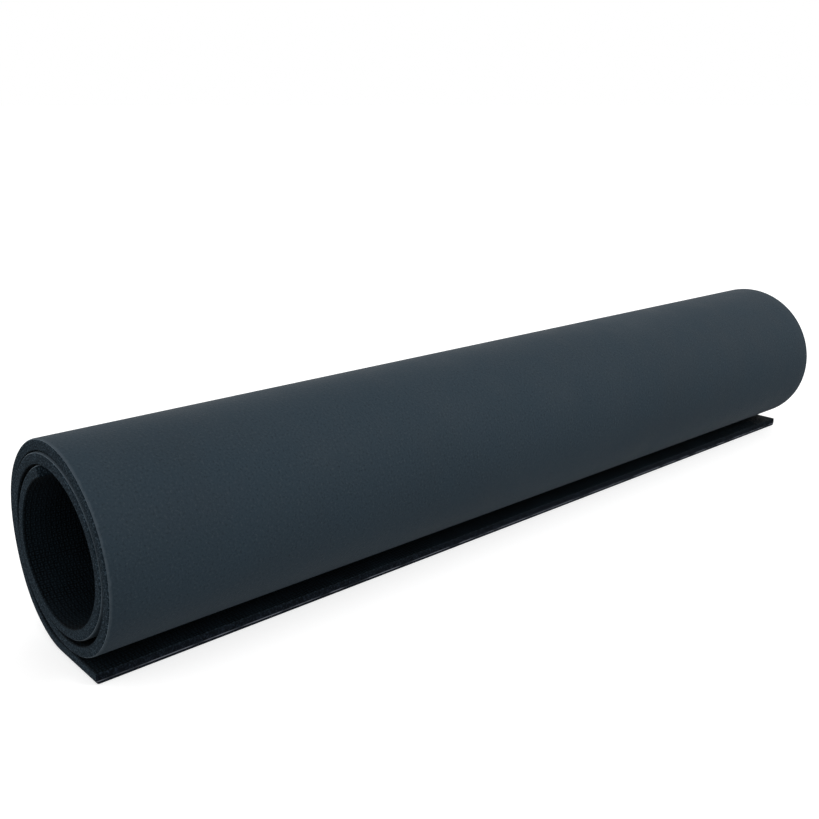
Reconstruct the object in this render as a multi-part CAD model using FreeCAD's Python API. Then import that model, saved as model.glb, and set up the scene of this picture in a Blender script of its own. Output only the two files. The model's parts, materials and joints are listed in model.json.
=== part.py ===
import FreeCAD, Part
import math
import os

# An exercise mat rolled into an open spiral, with the last bit of its outer end lying flat.
# Frame: X runs along the roll, +Z is up, the flat flap points to -Y, and z = 0 is the floor.
# Lengths are millimetres and angles are degrees.
#
# The mat is a sheet of foam with a thin smooth facing bonded to one side, which is the outside
# of the roll. The rolled stretch is a chain of arcs of equal bend, each running on smoothly from
# the one before. The first arcs after the flap are separate strips, hinged by lines in the
# facing, which open one after another as the roll is pushed along the floor. All the arcs after
# them are the coil, which keeps its shape.

MAT_WIDTH = 610.0
MAT_THICKNESS = 6.0
FACING_THICKNESS = 0.6

FLAP_LENGTH = 40.0
BEND_COUNT = 28
ROLLED_ANGLE = 878.0
STRIP_COUNT = 5
SEAM_GAP = 0.3

# The roll: bends are measured on the smooth outer side, and the layers nearly touch.
OUTER_BEND_RADIUS = 58.5
LAYER_GAP = 0.35
SAG = 2.0

# Where the mat leaves the floor it bends tighter, so that the roll leans back over the flap.
TAKE_OFF_TIGHTENING = 17.0

# Low on the flap's side the second turn hangs slack, a little off the turn outside it: a stretch
# of four bends is tighter at its two ends and looser in the middle.
FIRST_SLACK_BEND = 20
SLACK_TIGHTENING = 8.0

# Near the free inner end one tight bend curls the mat in off the turn outside it. The last bends
# lie straighter, so the end's edge comes back to that turn.
END_CURL = 10.0
STRAIGHTER_BENDS = 2
END_STRAIGHTENING = 9.2

BEND_ANGLE = ROLLED_ANGLE / BEND_COUNT
LAYER_PITCH = MAT_THICKNESS + LAYER_GAP

PLIES = {
    "facing": (0, FACING_THICKNESS),
    "foam": (FACING_THICKNESS, MAT_THICKNESS),
}


def rise(number):
    """Height that a bend gains for each millimetre of its radius."""
    return math.cos(math.radians(number * BEND_ANGLE)) - math.cos(math.radians((number + 1) * BEND_ANGLE))


def spiral_radius(number):
    """Bend radius in an even spiral that closes in by one layer a turn and sags a little."""
    heading = math.radians((number + 0.5) * BEND_ANGLE)
    return OUTER_BEND_RADIUS - LAYER_PITCH * heading / (2 * math.pi) + SAG * math.cos(2 * heading)


def bend_radii():
    """Radius of every bend, from the flap to the free inner end."""
    radii = [spiral_radius(number) for number in range(BEND_COUNT)]
    radii[0] -= TAKE_OFF_TIGHTENING
    radii[1] -= TAKE_OFF_TIGHTENING / 2
    # The third bend gives back the height lost in the first two, so the next layer clears the flap.
    radii[2] += TAKE_OFF_TIGHTENING * (rise(0) + rise(1) / 2) / rise(2)
    # The loosening makes up for the tightening, so the turn comes back to where it was.
    half_bend = math.radians(BEND_ANGLE / 2)
    loosening = SLACK_TIGHTENING * math.cos(3 * half_bend) / math.cos(half_bend)
    changes = (-SLACK_TIGHTENING, loosening, loosening, -SLACK_TIGHTENING)
    for number, change in enumerate(changes, start=FIRST_SLACK_BEND):
        radii[number] += change
    first_straighter = BEND_COUNT - STRAIGHTER_BENDS
    radii[first_straighter - 1] -= END_CURL
    for number in range(first_straighter, BEND_COUNT):
        radii[number] += END_STRAIGHTENING
    return radii


class Bend:
    """The arc that the smooth side follows through one bend, from its start point and heading.

    A heading of 0 runs along the floor towards +Y, and 90 runs straight up."""

    def __init__(self, start, heading, radius):
        self.heading = heading
        self.radius = radius
        self.centre_y = start.y - radius * math.sin(math.radians(heading))
        self.centre_z = start.z + radius * math.cos(math.radians(heading))

    def point(self, heading, depth):
        """The point at this heading, a given depth in from the smooth side."""
        reach = self.radius - depth
        y = self.centre_y + reach * math.sin(math.radians(heading))
        z = self.centre_z - reach * math.cos(math.radians(heading))
        return FreeCAD.Vector(0, y, z)

    def arc(self, first, last, depth):
        """The arc between two headings, a given depth in from the smooth side."""
        stops = (first, (first + last) / 2, last)
        return Part.Arc(*[self.point(heading, depth) for heading in stops]).toShape()


def rolled_bends():
    """Every bend of the roll, each starting where the last one ends and in the same direction."""
    bends = []
    start = FreeCAD.Vector(0, 0, 0)
    for number, radius in enumerate(bend_radii()):
        bend = Bend(start, number * BEND_ANGLE, radius)
        start = bend.point((number + 1) * BEND_ANGLE, 0)
        bends.append(bend)
    return bends


def middle_of_roll(bends):
    """Y of the middle of the outermost turn, measured from the line where the mat leaves the floor."""
    rising = bends[int(90 / BEND_ANGLE)].point(90, 0)
    falling = bends[int(270 / BEND_ANGLE)].point(270, 0)
    return (rising.y + falling.y) / 2


def across_mat(outline, middle):
    """Extrude an outline in the YZ plane over the mat's width, and centre it on the frame."""
    solid = Part.Face(Part.Wire(outline)).extrude(FreeCAD.Vector(MAT_WIDTH, 0, 0))
    solid.translate(FreeCAD.Vector(-MAT_WIDTH / 2, -middle, 0))
    return solid


def flap_outline(outer_depth, inner_depth):
    """One ply of the flap, from the mat's outer end to the first hinge."""
    near = -SEAM_GAP / 2
    corners = [
        FreeCAD.Vector(0, -FLAP_LENGTH, outer_depth),
        FreeCAD.Vector(0, near, outer_depth),
        FreeCAD.Vector(0, near, inner_depth),
        FreeCAD.Vector(0, -FLAP_LENGTH, inner_depth),
    ]
    return Part.makePolygon(corners + corners[:1]).Edges


def rolled_outline(bends, outer_depth, inner_depth):
    """One ply of a run of bends, cut square to the sheet half a seam gap short of each end."""
    first = bends[0].heading + math.degrees(SEAM_GAP / 2 / bends[0].radius)
    last = bends[-1].heading + BEND_ANGLE - math.degrees(SEAM_GAP / 2 / bends[-1].radius)
    joins = [bend.heading for bend in bends[1:]]
    spans = list(zip(bends, [first] + joins, joins + [last]))
    outer = [bend.arc(start, end, outer_depth) for bend, start, end in spans]
    inner = [bend.arc(end, start, inner_depth) for bend, start, end in reversed(spans)]
    end_cut = Part.makeLine(bends[-1].point(last, outer_depth), bends[-1].point(last, inner_depth))
    start_cut = Part.makeLine(bends[0].point(first, inner_depth), bends[0].point(first, outer_depth))
    return outer + [end_cut] + inner + [start_cut]


def mat():
    """Every sub-part by name: both plies of the flap, of each strip and of the coil."""
    bends = rolled_bends()
    middle = middle_of_roll(bends)
    runs = {f"strip_{number}": [bend] for number, bend in enumerate(bends[:STRIP_COUNT], start=1)}
    runs["coil"] = bends[STRIP_COUNT:]
    solids = {}
    for ply, depths in PLIES.items():
        solids[f"{ply}_flap"] = across_mat(flap_outline(*depths), middle)
        for name, run in runs.items():
            solids[f"{ply}_{name}"] = across_mat(rolled_outline(run, *depths), middle)
    return solids


os.makedirs("parts", exist_ok=True)
for name, solid in mat().items():
    solid.exportStep(f"parts/{name}.step")
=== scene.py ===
import json
import math

import bpy
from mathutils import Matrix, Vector, noise

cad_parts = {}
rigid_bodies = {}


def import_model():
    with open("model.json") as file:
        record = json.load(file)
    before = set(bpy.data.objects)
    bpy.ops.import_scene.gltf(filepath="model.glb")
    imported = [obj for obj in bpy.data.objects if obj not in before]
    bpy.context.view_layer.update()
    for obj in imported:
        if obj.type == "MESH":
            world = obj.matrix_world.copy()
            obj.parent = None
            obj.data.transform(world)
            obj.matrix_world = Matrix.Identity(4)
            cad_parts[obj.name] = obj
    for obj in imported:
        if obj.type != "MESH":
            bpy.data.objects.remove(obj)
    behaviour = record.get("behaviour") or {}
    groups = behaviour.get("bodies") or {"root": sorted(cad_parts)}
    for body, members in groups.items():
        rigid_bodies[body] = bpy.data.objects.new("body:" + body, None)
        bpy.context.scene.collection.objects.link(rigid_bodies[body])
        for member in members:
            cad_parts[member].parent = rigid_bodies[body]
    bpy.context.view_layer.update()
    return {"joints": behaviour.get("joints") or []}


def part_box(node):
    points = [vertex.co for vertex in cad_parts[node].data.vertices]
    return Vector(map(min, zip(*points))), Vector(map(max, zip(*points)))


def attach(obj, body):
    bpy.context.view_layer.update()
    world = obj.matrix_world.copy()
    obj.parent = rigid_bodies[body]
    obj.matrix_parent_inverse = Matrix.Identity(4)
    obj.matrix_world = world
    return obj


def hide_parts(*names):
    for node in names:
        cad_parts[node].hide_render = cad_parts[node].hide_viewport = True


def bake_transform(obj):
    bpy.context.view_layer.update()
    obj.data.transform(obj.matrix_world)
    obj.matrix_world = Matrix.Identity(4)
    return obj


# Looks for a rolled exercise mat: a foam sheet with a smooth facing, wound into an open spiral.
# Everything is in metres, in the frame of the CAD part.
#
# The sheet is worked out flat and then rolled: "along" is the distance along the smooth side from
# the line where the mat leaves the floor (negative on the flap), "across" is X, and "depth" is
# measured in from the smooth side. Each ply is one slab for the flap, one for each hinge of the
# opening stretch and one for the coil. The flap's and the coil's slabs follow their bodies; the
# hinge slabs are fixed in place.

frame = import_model()

# The driving dimensions of the roll, as in the CAD part.
BEND_COUNT = 28
BEND_ANGLE = math.radians(878.0) / BEND_COUNT
OUTER_BEND_RADIUS = 0.0585
LAYER_PITCH = 0.00635
SAG = 0.002
TAKE_OFF_TIGHTENING = 0.017
FIRST_SLACK_BEND = 20
SLACK_TIGHTENING = 0.008
END_CURL = 0.010
STRAIGHTER_BENDS = 2
END_STRAIGHTENING = 0.0092

HINGES = [Vector(joint["pos_m"]) for joint in frame["joints"]]
STRIP_COUNT = len(HINGES) - 1
FACING_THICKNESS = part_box("facing_flap")[1].z
MAT_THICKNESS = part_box("foam_flap")[1].z
FLAP_LENGTH = HINGES[0].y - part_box("foam_flap")[0].y
HALF_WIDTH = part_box("foam_coil")[1].x

# How a real sheet departs from the drawn one: rounded cut edges, a thickness that varies, and
# cuts and a winding that aren't quite straight.
SMOOTH_EDGE_RADIUS = 0.0016
END_EDGE_RADIUS = 0.0004
UNDER_EDGE_RADIUS = 0.0006
FACING_CUT_DEPTH = 0.00035
UNEVEN_SHARE = 0.03
UNEVEN_LENGTH = 0.07
EDGE_WANDER = 0.0005
EDGE_WANDER_LENGTH = 0.06
SKEW = 0.0022

# Far enough apart in the noise that the two side edges wander each in its own way.
EDGES_APART = 3.7

# Spacing of the mesh, along the sheet and across it, and at a hidden seam between slabs.
STATION_STEP = 0.0018
COLUMN_STEP = 0.012
SEAM_STEP = 0.00005
ROUNDING_ANGLES = (0, 22, 45, 67, 90)
SHARP_ANGLE = math.radians(40)

# Colours, in linear light.
FACING_COLOUR = (0.0155, 0.0272, 0.0378)
FLECK_COLOUR = (0.0340, 0.0460, 0.0560)
# Pale rubbed edges of the facing; also the painted highlight along the facing's cut edge.
FACING_WEAR_AND_HIGHLIGHT_COLOUR = (0.170, 0.215, 0.255)
SHEEN_TINT = (0.60, 0.72, 0.82)
# The dark of the cut foam; also the painted shade on the facing's end face at the flap, along the
# floor.
CUT_DARK = (0.0060, 0.0115, 0.0165)
CUT_LIGHT = (0.0480, 0.0740, 0.0970)
# Painted shade that darkens the flap's end face.
END_FACE_PAINTED_SHADE = (0.22, 0.22, 0.26)
# Painted highlight: a pale line across the flap's end face.
END_LINE_HIGHLIGHT_COLOUR = (0.130, 0.140, 0.165)
UNDER_GROOVE = (0.0001, 0.0002, 0.0003)
UNDER_RIB = (0.0072, 0.0140, 0.0200)
FLOOR_COLOUR = (0.62, 0.62, 0.62)
WHITE = (1.0, 1.0, 1.0)

# Gains that make a darker or lighter shade of a colour.
MOTTLE_DARK_GAIN = 0.93
MOTTLE_LIGHT_GAIN = 1.06
CLOUD_GAIN = 1.15
PIT_GAIN = 0.45
WORN_GAIN = 0.5
CELL_GAIN = 0.6
CUT_MOTTLE_GAIN = 1.6
UNDER_MOTTLE_GAIN = 0.9

# Patterns of noise over the sheet, by the size of their features.
GRAIN = {"size": 0.0013, "detail": 3.0, "roughness": 0.7}
SOFT_WAVES = {"size": 0.012}
FACING_MOTTLE = {"size": 0.035, "detail": 3.0, "roughness": 0.55}
CLOUD = {"size": 0.16}
RUB = {"size": 0.004, "detail": 3.0}
# Noise that breaks up the painted highlight along the facing's cut edge.
CUT_HIGHLIGHT_BREAKUP = {"size": 0.03}
GRIT = {"size": 0.0009, "detail": 3.0, "roughness": 0.7}
FOAM_MOTTLE = {"size": 0.02}
GRIP_DRIFT = {"size": 0.006}
FLOOR_MOTTLE = {"size": 0.3}
PEBBLE_SIZE = 0.0020
CELL_SIZE = 0.0010

# Fades: the two values of a pattern between which an effect changes, and what it changes from
# and to.
FACING_MOTTLE_FADE = (0.3, 0.7, 0.0, 1.0)
CLOUD_FADE = (0.35, 0.7, 0.0, 0.6)
FLECK_FADE = (0.53, 0.70, 0.0, 0.55)
PIT_FADE = (0.47, 0.30, 0.0, 0.6)
# Where that noise lets the painted highlight on the facing's cut edge show.
CUT_HIGHLIGHT_BREAKUP_FADE = (0.38, 0.58, 0.2, 1.0)
SPECK_FADE = (0.47, 0.67, 0.0, 1.0)
CELL_FADE = (0.32, 0.10, 0.0, 0.6)
CUT_MOTTLE_FADE = (0.35, 0.7, 0.0, 0.3)
UNDER_MOTTLE_FADE = (0.35, 0.7, 0.0, 0.4)
# How noise breaks up the painted highlight line on the flap's end face.
END_LINE_HIGHLIGHT_MOTTLE_FADE = (0.40, 0.55, 0.15, 1.0)
FACING_ROUGHNESS_FADE = (0.2, 0.8, 0.68, 0.82)
CUT_ROUGHNESS_FADE = (0.3, 0.7, 0.95, 0.82)
UNDER_ROUGHNESS_FADE = (0.0, 1.0, 0.85, 0.66)
FLOOR_ROUGHNESS_FADE = (0.2, 0.8, 0.85, 0.95)

# The same, by place on the sheet: distance in from a side cut, depth, or distance along.
WORN_FADE = (0.0014, -0.0002, 0.0, 0.35)
# Where the painted highlight lies, on the facing's cut edge.
FACING_CUT_FADE = (FACING_CUT_DEPTH * 0.9, FACING_CUT_DEPTH * 1.3, 0.0, 1.0)
# Where the flap's end face, facing and foam alike, is painted darker as shade.
OUTER_END_FADE = (-FLAP_LENGTH + END_EDGE_RADIUS, -FLAP_LENGTH, 0.0, 1.0)
UNDER_FADE = (MAT_THICKNESS - UNDER_EDGE_RADIUS, MAT_THICKNESS - UNDER_EDGE_RADIUS * 0.3, 0.0, 1.0)

# Wear: how ragged a rubbed edge is; and a painted highlight, a pale line on the flap's end face.
RUB_DEPTH = 0.0016
END_LINE_HIGHLIGHT_DEPTH = 0.0017
END_LINE_HIGHLIGHT_WIDTH = 0.0008
END_LINE_HIGHLIGHT_FADE = (END_LINE_HIGHLIGHT_WIDTH / 2, END_LINE_HIGHLIGHT_WIDTH / 8, 0.0, 1.0)

# The woven grip on the underside.
GRIP_PITCH = 0.0026
GRIP_STRAY = 0.0006
RIBS_PER_PATCH = 2.0
WEAVE_FADE = (-0.12, 0.12, 0.0, 1.0)

# Gloss, and relief as the height of a pattern and its strength.
FACING_GLOSS = 0.15
FACING_SHEEN = 0.03
SHEEN_ROUGHNESS = 0.4
FOAM_GLOSS = 0.06
SOFT_WAVE_RELIEF = (0.00018, 0.6)
PEBBLE_RELIEF = (0.00010, 0.6)
GRAIN_RELIEF = (0.00022, 0.9)
FOAM_RELIEF = (0.0004, 0.9)
CELL_HEIGHT = 0.6
GRIT_HEIGHT = 0.8
PORE_HEIGHT = 0.8

# Floor, light and camera.
FLOOR_SIZE = 400
FLOOR_DROP = 0.0004
FLOOR_GLOW = 0.58
SKY_STRENGTH = 1.00
BELOW_STRENGTH = 0.50
HORIZON_LOW = -0.06
HORIZON_HIGH = -0.005
KEY_PLACE = (0.9, -1.3, 1.3)
KEY_TARGET = (0, 0, 0.05)
KEY_SIZE = 0.9
KEY_POWER = 12
CAMERA_PLACE = (-0.4728, -0.4423, 0.2609)
CAMERA_TURN = math.radians(48.45)
CAMERA_TILT = math.radians(16.72)
SENSOR_WIDTH = 36
FOCAL_LENGTH = 44.54

# Sockets of the Mix node, which holds a set of them for each type of data.
MIX_FACTOR = 0
MIX_NUMBERS = (2, 3)
MIX_COLOURS = (6, 7)
MIX_COLOUR_RESULT = 2


# ---- the rolled sheet -----------------------------------------------------------------------

def rise(number):
    """Height that a bend gains for each metre of its radius."""
    return math.cos(number * BEND_ANGLE) - math.cos((number + 1) * BEND_ANGLE)


def spiral_radius(number):
    """Bend radius in an even spiral that closes in by one layer a turn and sags a little."""
    heading = (number + 0.5) * BEND_ANGLE
    return OUTER_BEND_RADIUS - LAYER_PITCH * heading / math.tau + SAG * math.cos(2 * heading)


def bend_radii():
    """Radius of the smooth side through every bend, from the flap to the free inner end."""
    radii = [spiral_radius(number) for number in range(BEND_COUNT)]
    radii[0] -= TAKE_OFF_TIGHTENING
    radii[1] -= TAKE_OFF_TIGHTENING / 2
    # The third bend gives back the height lost in the first two, so the next layer clears the flap.
    radii[2] += TAKE_OFF_TIGHTENING * (rise(0) + rise(1) / 2) / rise(2)
    # The loosening makes up for the tightening, so the turn comes back to where it was.
    half_bend = BEND_ANGLE / 2
    loosening = SLACK_TIGHTENING * math.cos(3 * half_bend) / math.cos(half_bend)
    changes = (-SLACK_TIGHTENING, loosening, loosening, -SLACK_TIGHTENING)
    for number, change in enumerate(changes, start=FIRST_SLACK_BEND):
        radii[number] += change
    first_straighter = BEND_COUNT - STRAIGHTER_BENDS
    radii[first_straighter - 1] -= END_CURL
    for number in range(first_straighter, BEND_COUNT):
        radii[number] += END_STRAIGHTENING
    return radii


class Roll:
    """The path of the sheet's smooth side, as the flat flap and then a chain of arcs."""

    def __init__(self):
        self.radii = bend_radii()
        self.starts = [0.0]
        self.centres = []
        y, z = HINGES[0].y, HINGES[0].z
        for number, radius in enumerate(self.radii):
            heading = number * BEND_ANGLE
            centre = (y - radius * math.sin(heading), z + radius * math.cos(heading))
            self.centres.append(centre)
            self.starts.append(self.starts[-1] + radius * BEND_ANGLE)
            y = centre[0] + radius * math.sin(heading + BEND_ANGLE)
            z = centre[1] - radius * math.cos(heading + BEND_ANGLE)
        self.length = self.starts[-1]

    def point(self, along, across, depth):
        """Where a point of the flat sheet lies in the roll."""
        if along <= 0:
            return Vector((across, HINGES[0].y + along, HINGES[0].z + depth))
        number = 0
        while number < BEND_COUNT - 1 and along > self.starts[number + 1]:
            number += 1
        heading = number * BEND_ANGLE + (along - self.starts[number]) / self.radii[number]
        reach = self.radii[number] - depth
        y, z = self.centres[number]
        return Vector((across, y + reach * math.sin(heading), z - reach * math.cos(heading)))

    def middle(self, number):
        """Distance along the sheet to the middle of a bend."""
        return (self.starts[number] + self.starts[number + 1]) / 2


ROLL = Roll()


def thinning(along, across):
    """Share of the full thickness that the uneven sheet has here."""
    spot = Vector((along, across, 0)) / UNEVEN_LENGTH
    return 1 - UNEVEN_SHARE * (1 + noise.noise(spot)) / 2


def wander(along, side):
    """How far the cut edge on one side strays from straight, and the slight skew of the winding."""
    stray = EDGE_WANDER * noise.noise(Vector((along / EDGE_WANDER_LENGTH, EDGES_APART * side, 0)))
    return stray - SKEW * max(along, 0) / ROLL.length


def rounding(distance, radius):
    """How deep a rounded edge has dropped, at this distance in from the cut."""
    if distance >= radius:
        return 0.0
    return radius - math.sqrt(radius ** 2 - (radius - distance) ** 2)


def edge_inset(depth, radius):
    """Distance in from the cut at which a rounded edge has dropped to this depth."""
    return radius - math.sqrt(radius ** 2 - (radius - depth) ** 2)


# ---- slabs: a ply between two distances along the sheet --------------------------------------

def edge_steps(radius):
    """Distances from a cut at which a rounded edge needs points."""
    return [radius * (1 - math.cos(math.radians(angle))) for angle in ROUNDING_ANGLES]


def even_steps(first, last, step):
    """Points from first to last, no further apart than step."""
    count = max(1, math.ceil((last - first) / step))
    return [first + (last - first) * index / count for index in range(count + 1)]


def stations(first, last):
    """Distances along the sheet: close together at a cut end, and at a hidden seam just inside it."""
    lead = edge_steps(END_EDGE_RADIUS) if first == -FLAP_LENGTH else [0, SEAM_STEP]
    tail = edge_steps(END_EDGE_RADIUS) if last == ROLL.length else [0, SEAM_STEP]
    middle = even_steps(first + lead[-1], last - tail[-1], STATION_STEP)
    start = [first + gap for gap in lead[:-1]]
    end = [last - gap for gap in reversed(tail[:-1])]
    return start + middle + end


def columns(ply):
    """Distances across the sheet, from one cut edge of a ply to the other."""
    inset = 0.0
    radius = UNDER_EDGE_RADIUS
    if ply == "facing":
        inset = edge_inset(FACING_CUT_DEPTH, SMOOTH_EDGE_RADIUS)
        radius = SMOOTH_EDGE_RADIUS
    steps = [inset] + [gap for gap in edge_steps(radius) if gap > inset]
    half = [HALF_WIDTH - gap for gap in steps]
    middle = even_steps(-half[-1], half[-1], COLUMN_STEP)
    return [-edge for edge in half[:-1]] + middle + half[:-1][::-1]


def ply_depths(ply, side_gap, end_gap):
    """Depths of a ply's outer and inner faces, this far in from the nearest side and end cuts."""
    end_drop = rounding(end_gap, END_EDGE_RADIUS)
    drop_out = rounding(side_gap, SMOOTH_EDGE_RADIUS) + end_drop
    if ply == "facing":
        return min(drop_out, FACING_CUT_DEPTH), FACING_THICKNESS
    drop_in = rounding(side_gap, UNDER_EDGE_RADIUS) + end_drop
    outer = max(FACING_THICKNESS, min(drop_out, SMOOTH_EDGE_RADIUS))
    inner = MAT_THICKNESS - min(drop_in, UNDER_EDGE_RADIUS)
    return outer, inner


def slab_points(ply, rows, lines):
    """The points of both faces of a slab, on the flat sheet and as they lie in the roll."""
    flat = []
    rolled = []
    for face in (0, 1):
        for along in rows:
            end_gap = min(along + FLAP_LENGTH, ROLL.length - along)
            for across in lines:
                depth = ply_depths(ply, HALF_WIDTH - abs(across), end_gap)[face]
                share = abs(across) / HALF_WIDTH
                shifted = across + wander(along, math.copysign(1, across)) * share
                flat.append((along, across, depth))
                rolled.append(ROLL.point(along, shifted, depth * thinning(along, across)))
    return flat, rolled


def slab_faces(row_count, line_count):
    """Faces of a closed slab: two grids, the strips along both cut edges and the two ends."""
    layer = row_count * line_count
    faces = []
    for row in range(row_count - 1):
        for line in range(line_count - 1):
            a = row * line_count + line
            b = a + line_count
            faces.append((a, a + 1, b + 1, b))
            faces.append((layer + a, layer + b, layer + b + 1, layer + a + 1))
        left = row * line_count
        right = left + line_count - 1
        faces.append((left, left + line_count, layer + left + line_count, layer + left))
        faces.append((right, layer + right, layer + right + line_count, right + line_count))
    for line in range(line_count - 1):
        last = (row_count - 1) * line_count + line
        faces.append((line, layer + line, layer + line + 1, line + 1))
        faces.append((last, last + 1, layer + last + 1, layer + last))
    return faces


def slab(name, ply, first, last):
    """A closed mesh of one ply, from one distance along the sheet to another."""
    rows = stations(first, last)
    lines = columns(ply)
    flat, rolled = slab_points(ply, rows, lines)
    mesh = bpy.data.meshes.new(name)
    mesh.from_pydata(rolled, [], slab_faces(len(rows), len(lines)))
    sheet = mesh.attributes.new("sheet", "FLOAT_VECTOR", "POINT")
    sheet.data.foreach_set("vector", [value for spot in flat for value in spot])
    mesh.polygons.foreach_set("use_smooth", [True] * len(mesh.polygons))
    mesh.set_sharp_from_angle(angle=SHARP_ANGLE)
    piece = bpy.data.objects.new(name, mesh)
    bpy.context.scene.collection.objects.link(piece)
    return piece


# ---- materials ------------------------------------------------------------------------------

class Shader:
    """A material being built, with short calls for the nodes that it uses."""

    def __init__(self, name):
        self.material = bpy.data.materials.new(name)
        self.material.use_nodes = True
        self.tree = self.material.node_tree
        self.surface = self.tree.nodes["Principled BSDF"]

    def add(self, kind, inputs=(), **settings):
        """A new node with its settings and its inputs, each input a value or another's output."""
        node = self.tree.nodes.new(kind)
        for setting, value in settings.items():
            setattr(node, setting, value)
        for socket, value in dict(inputs).items():
            self.feed(node.inputs[socket], value)
        return node

    def feed(self, socket, value):
        """Link an output to a socket, or set the socket to a value."""
        if isinstance(value, bpy.types.NodeSocket):
            self.tree.links.new(value, socket)
        else:
            socket.default_value = value

    def finish(self, name, value):
        """Set an input of the surface itself."""
        self.feed(self.surface.inputs[name], value)

    def sheet(self):
        """Coordinates on the flat sheet: along, across and depth."""
        return self.add("ShaderNodeAttribute", attribute_name="sheet").outputs["Vector"]

    def parts(self, vector):
        """The three parts of a vector."""
        return self.add("ShaderNodeSeparateXYZ", {"Vector": vector}).outputs

    def math(self, operation, first, second=0.0):
        """An operation on one number or two."""
        return self.add("ShaderNodeMath", {0: first, 1: second}, operation=operation).outputs[0]

    def noise(self, vector, size, detail=2.0, roughness=0.5):
        """Noise whose features are about this many metres across, from 0 to 1."""
        inputs = {"Vector": vector, "Scale": 1 / size, "Detail": detail, "Roughness": roughness}
        return self.add("ShaderNodeTexNoise", inputs).outputs["Fac"]

    def cells(self, vector, size):
        """Distance to the middle of the nearest of many small cells."""
        inputs = {"Vector": vector, "Scale": 1 / size, "Randomness": 1.0}
        return self.add("ShaderNodeTexVoronoi", inputs).outputs["Distance"]

    def between(self, value, low, high, start, end):
        """Smooth step of a value from start to end as it goes from low to high."""
        inputs = {"Value": value, "From Min": low, "From Max": high, "To Min": start, "To Max": end}
        node = self.add("ShaderNodeMapRange", inputs, interpolation_type="SMOOTHSTEP")
        return node.outputs["Result"]

    def mix(self, factor, first, second, blend="MIX"):
        """Mix of two colours."""
        inputs = {MIX_FACTOR: factor, MIX_COLOURS[0]: first, MIX_COLOURS[1]: second}
        node = self.add("ShaderNodeMix", inputs, data_type="RGBA", blend_type=blend)
        return node.outputs[MIX_COLOUR_RESULT]

    def choose(self, factor, first, second):
        """Mix of two numbers."""
        inputs = {MIX_FACTOR: factor, MIX_NUMBERS[0]: first, MIX_NUMBERS[1]: second}
        return self.add("ShaderNodeMix", inputs, data_type="FLOAT").outputs[0]

    def bump(self, height, distance, strength, under=None):
        """Relief from a height, laid over the relief under it."""
        inputs = {"Height": height, "Distance": distance, "Strength": strength}
        node = self.add("ShaderNodeBump", inputs)
        if under is not None:
            self.feed(node.inputs["Normal"], under)
        return node.outputs["Normal"]


def rgba(colour, gain=1.0):
    """A colour as a socket takes it, made darker or lighter by a gain."""
    return tuple(channel * gain for channel in colour) + (1.0,)


def facing_skin(shader, sheet, grain, mottle):
    """Colour of the facing away from its edges: mottled, with pale flecks and dark pits."""
    dark = rgba(FACING_COLOUR, MOTTLE_DARK_GAIN)
    light = rgba(FACING_COLOUR, MOTTLE_LIGHT_GAIN)
    colour = shader.mix(shader.between(mottle, *FACING_MOTTLE_FADE), dark, light)
    cloud = shader.between(shader.noise(sheet, **CLOUD), *CLOUD_FADE)
    colour = shader.mix(cloud, colour, rgba(FACING_COLOUR, CLOUD_GAIN))
    fleck = shader.between(grain, *FLECK_FADE)
    colour = shader.mix(fleck, colour, rgba(FLECK_COLOUR))
    pit = shader.between(grain, *PIT_FADE)
    return shader.mix(pit, colour, rgba(FACING_COLOUR, PIT_GAIN))


def facing_edges(shader, sheet, colour):
    """The facing's colour with its edges: rubbed paler at the sides, a pale painted highlight where it
    is cut, and painted shade on its end face at the flap.
    """
    along, across, depth = shader.parts(sheet)
    edge_gap = shader.math("SUBTRACT", HALF_WIDTH, shader.math("ABSOLUTE", across))
    ragged = shader.math("MULTIPLY", shader.noise(sheet, **RUB), RUB_DEPTH)
    worn = shader.between(shader.math("SUBTRACT", edge_gap, ragged), *WORN_FADE)
    colour = shader.mix(worn, colour, rgba(FACING_WEAR_AND_HIGHLIGHT_COLOUR, WORN_GAIN))
    # Painted highlight: the facing's cut edge is painted pale, in patches.
    cut = shader.between(depth, *FACING_CUT_FADE)
    highlight_breakup = shader.between(shader.noise(sheet, **CUT_HIGHLIGHT_BREAKUP), *CUT_HIGHLIGHT_BREAKUP_FADE)
    colour = shader.mix(shader.math("MULTIPLY", cut, highlight_breakup), colour, rgba(FACING_WEAR_AND_HIGHLIGHT_COLOUR))
    # Painted shade: the facing's end face on the flap, along the floor, is darkened to the dark of the
    # cut foam.
    outer_end = shader.between(along, *OUTER_END_FADE)
    return shader.mix(outer_end, colour, rgba(CUT_DARK))


def facing_material():
    """Smooth matte facing: a very fine skin-like grain, faint mottling, and paler worn edges."""
    shader = Shader("facing")
    sheet = shader.sheet()
    grain = shader.noise(sheet, **GRAIN)
    mottle = shader.noise(sheet, **FACING_MOTTLE)
    skin = facing_skin(shader, sheet, grain, mottle)
    shader.finish("Base Color", facing_edges(shader, sheet, skin))
    shader.finish("Roughness", shader.between(mottle, *FACING_ROUGHNESS_FADE))
    shader.finish("Specular IOR Level", FACING_GLOSS)
    shader.finish("Sheen Weight", FACING_SHEEN)
    shader.finish("Sheen Roughness", SHEEN_ROUGHNESS)
    shader.finish("Sheen Tint", rgba(SHEEN_TINT))

    normal = shader.bump(shader.noise(sheet, **SOFT_WAVES), *SOFT_WAVE_RELIEF)
    normal = shader.bump(shader.cells(sheet, PEBBLE_SIZE), *PEBBLE_RELIEF, normal)
    normal = shader.bump(grain, *GRAIN_RELIEF, normal)
    shader.finish("Normal", normal)
    return shader.material


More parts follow.
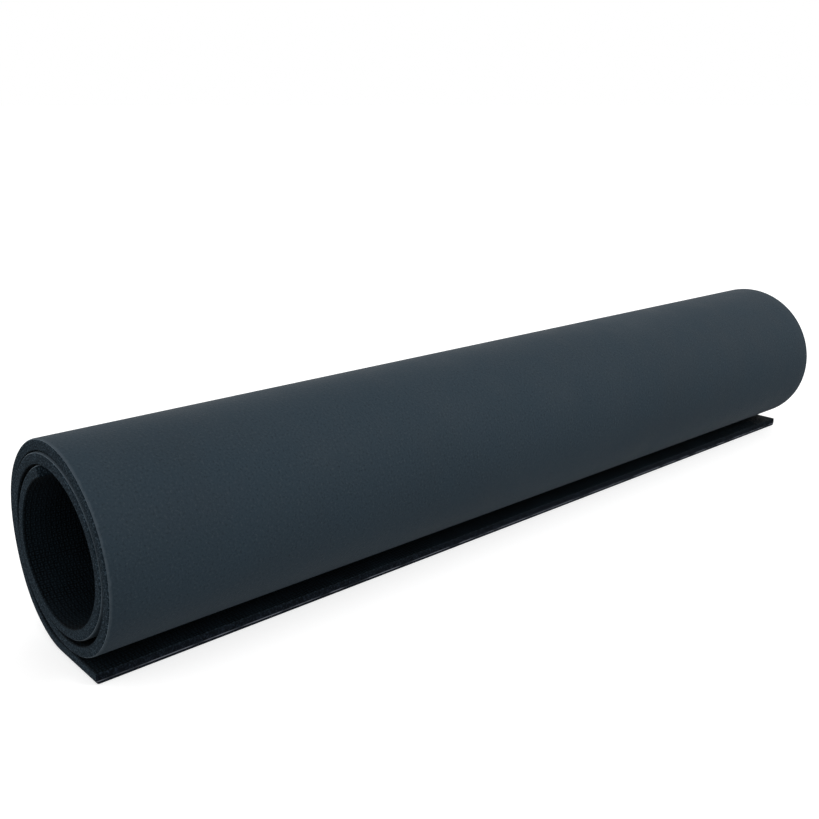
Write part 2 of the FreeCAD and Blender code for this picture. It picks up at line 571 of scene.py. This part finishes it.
def cut_foam(shader, grit, cell, mottle):
    """Colour of cut foam: pale specks and dark open cells."""
    speck = shader.between(grit, *SPECK_FADE)
    colour = shader.mix(speck, rgba(CUT_DARK), rgba(CUT_LIGHT))
    hole = shader.between(cell, *CELL_FADE)
    colour = shader.mix(hole, colour, rgba(CUT_DARK, CELL_GAIN))
    return shader.mix(shader.between(mottle, *CUT_MOTTLE_FADE), colour, rgba(CUT_DARK, CUT_MOTTLE_GAIN))


def flap_end(shader, colour, along, depth, mottle):
    """The cut foam's colour with the flap's end face, darkened as painted shade and crossed by a pale
    painted highlight line.
    """
    # Painted shade: the flap's end face is darkened.
    outer_end = shader.between(along, *OUTER_END_FADE)
    colour = shader.mix(outer_end, colour, rgba(END_FACE_PAINTED_SHADE), "MULTIPLY")
    # Painted highlight: a pale line across the flap's end face, a little above the facing.
    line_gap = shader.math("ABSOLUTE", shader.math("SUBTRACT", depth, END_LINE_HIGHLIGHT_DEPTH))
    line = shader.between(line_gap, *END_LINE_HIGHLIGHT_FADE)
    painted_highlight = shader.math("MULTIPLY", line, shader.between(mottle, *END_LINE_HIGHLIGHT_MOTTLE_FADE))
    return shader.mix(shader.math("MULTIPLY", painted_highlight, outer_end), colour, rgba(END_LINE_HIGHLIGHT_COLOUR))


def grip_pattern(shader, sheet, along, across):
    """A fine basket weave, from 0 in the grooves to 1 on the ribs, slightly uneven."""
    stray = shader.math("MULTIPLY", shader.noise(sheet, **GRIP_DRIFT), GRIP_STRAY)
    turns_along = shader.math("MULTIPLY", shader.math("ADD", along, stray), math.pi / GRIP_PITCH)
    turns_across = shader.math("MULTIPLY", shader.math("SUBTRACT", across, stray), math.pi / GRIP_PITCH)
    wave_along = shader.math("SINE", turns_along)
    wave_across = shader.math("SINE", turns_across)
    weave = shader.between(shader.math("MULTIPLY", wave_along, wave_across), *WEAVE_FADE)
    ribs_along = ribs(shader, turns_along, wave_across)
    ribs_across = ribs(shader, turns_across, wave_along)
    return shader.choose(weave, ribs_along, ribs_across)


def ribs(shader, turns, crossing_wave):
    """Rounded ribs side by side, which die away where the crossing wave goes through 0."""
    fine_wave = shader.math("SINE", shader.math("MULTIPLY", turns, RIBS_PER_PATCH))
    rib = shader.math("ABSOLUTE", fine_wave)
    return shader.math("MULTIPLY", rib, shader.math("ABSOLUTE", crossing_wave))


def foam_material():
    """Dark closed-cell foam: grainy where it is cut, embossed with a fine grip on the underside."""
    shader = Shader("foam")
    sheet = shader.sheet()
    along, across, depth = shader.parts(sheet)
    cell = shader.cells(sheet, CELL_SIZE)
    grit = shader.noise(sheet, **GRIT)
    mottle = shader.noise(sheet, **FOAM_MOTTLE)
    grip = grip_pattern(shader, sheet, along, across)
    under = shader.between(depth, *UNDER_FADE)

    cut_colour = flap_end(shader, cut_foam(shader, grit, cell, mottle), along, depth, mottle)
    under_colour = shader.mix(grip, rgba(UNDER_GROOVE), rgba(UNDER_RIB))
    under_mottle = shader.between(mottle, *UNDER_MOTTLE_FADE)
    under_colour = shader.mix(under_mottle, under_colour, rgba(UNDER_RIB, UNDER_MOTTLE_GAIN))
    shader.finish("Base Color", shader.mix(under, cut_colour, under_colour))

    cut_roughness = shader.between(grit, *CUT_ROUGHNESS_FADE)
    under_roughness = shader.between(grip, *UNDER_ROUGHNESS_FADE)
    shader.finish("Roughness", shader.choose(under, cut_roughness, under_roughness))
    shader.finish("Specular IOR Level", FOAM_GLOSS)

    cell_height = shader.math("MULTIPLY", cell, CELL_HEIGHT)
    grit_height = shader.math("MULTIPLY", grit, GRIT_HEIGHT)
    pores = shader.math("MULTIPLY", shader.math("ADD", cell_height, grit_height), PORE_HEIGHT)
    shader.finish("Normal", shader.bump(shader.choose(under, pores, grip), *FOAM_RELIEF))
    return shader.material


# ---- the mat --------------------------------------------------------------------------------

def dress(piece, material, nodes):
    """Give a slab its finish, and hide the CAD nodes that it stands for."""
    piece.data.materials.append(material)
    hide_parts(*nodes)


def roll_up(ply, material):
    """All the slabs of one ply: the flap's and the coil's each on its body, the hinge slabs fixed in
    place.
    """
    bodies = [joint["parent"] for joint in frame["joints"]] + [frame["joints"][-1]["child"]]
    ends = [0.0] + [ROLL.middle(number) for number in range(STRIP_COUNT + 1)]

    flap = slab(f"{ply}_over_flap", ply, -FLAP_LENGTH, ends[0])
    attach(flap, "flap")
    dress(flap, material, [f"{ply}_flap"])

    for number, (first, last) in enumerate(zip(ends, ends[1:]), start=1):
        piece = slab(f"{ply}_over_hinge_{number}", ply, first, last)
        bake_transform(piece)
        dress(piece, material, [f"{ply}_{bodies[number]}"])

    coil = slab(f"{ply}_over_coil", ply, ends[-1], ROLL.length)
    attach(coil, "coil")
    dress(coil, material, [f"{ply}_coil"])


# ---- floor, light and camera ----------------------------------------------------------------

def floor():
    """A pale floor that runs out to the horizon. It throws no light back up at the object."""
    bpy.ops.mesh.primitive_plane_add(size=FLOOR_SIZE, location=(0, 0, -FLOOR_DROP))
    ground = bpy.context.object
    ground.name = "floor"
    ground.visible_diffuse = False
    ground.visible_glossy = False
    shader = Shader("floor")
    spots = shader.add("ShaderNodeTexCoord").outputs["Object"]
    shader.finish("Base Color", rgba(FLOOR_COLOUR))
    shader.finish("Specular IOR Level", 0.0)
    shader.finish("Emission Color", rgba(WHITE))
    shader.finish("Emission Strength", FLOOR_GLOW)
    mottle = shader.noise(spots, **FLOOR_MOTTLE)
    shader.finish("Roughness", shader.between(mottle, *FLOOR_ROUGHNESS_FADE))
    ground.data.materials.append(shader.material)


def aim(holder, direction):
    """Turn a light or the camera to look in a direction."""
    holder.rotation_mode = "QUATERNION"
    holder.rotation_quaternion = direction.to_track_quat("-Z", "Y")


def key_light():
    """A weak, wide light high up on the flap's side, towards the far end."""
    lamp = bpy.data.lights.new("key", "AREA")
    lamp.shape = "DISK"
    lamp.size = KEY_SIZE
    lamp.energy = KEY_POWER
    holder = bpy.data.objects.new("key", lamp)
    holder.location = KEY_PLACE
    aim(holder, Vector(KEY_TARGET) - Vector(KEY_PLACE))
    bpy.context.scene.collection.objects.link(holder)


def sky():
    """White all round above the horizon, and dimmer below it."""
    scene = bpy.context.scene
    scene.world = scene.world or bpy.data.worlds.new("world")
    scene.world.use_nodes = True
    nodes = scene.world.node_tree.nodes
    links = scene.world.node_tree.links
    place = nodes.new("ShaderNodeTexCoord")
    split = nodes.new("ShaderNodeSeparateXYZ")
    level = nodes.new("ShaderNodeMapRange")
    level.inputs["From Min"].default_value = HORIZON_LOW
    level.inputs["From Max"].default_value = HORIZON_HIGH
    level.inputs["To Min"].default_value = BELOW_STRENGTH
    level.inputs["To Max"].default_value = SKY_STRENGTH
    links.new(place.outputs["Generated"], split.inputs["Vector"])
    links.new(split.outputs["Z"], level.inputs["Value"])
    links.new(level.outputs["Result"], nodes["Background"].inputs["Strength"])
    nodes["Background"].inputs["Color"].default_value = rgba(WHITE)


def camera():
    """A camera above and outside the open end, on the flap's side, looking across the roll."""
    level = math.cos(CAMERA_TILT)
    view = (math.cos(CAMERA_TURN) * level, math.sin(CAMERA_TURN) * level, -math.sin(CAMERA_TILT))
    lens = bpy.data.cameras.new("camera")
    lens.sensor_width = SENSOR_WIDTH
    lens.lens = FOCAL_LENGTH
    holder = bpy.data.objects.new("camera", lens)
    holder.location = CAMERA_PLACE
    aim(holder, Vector(view))
    bpy.context.scene.collection.objects.link(holder)
    bpy.context.scene.camera = holder


roll_up("facing", facing_material())
roll_up("foam", foam_material())
floor()
sky()
key_light()
camera()
bpy.context.scene.view_settings.view_transform = "Standard"
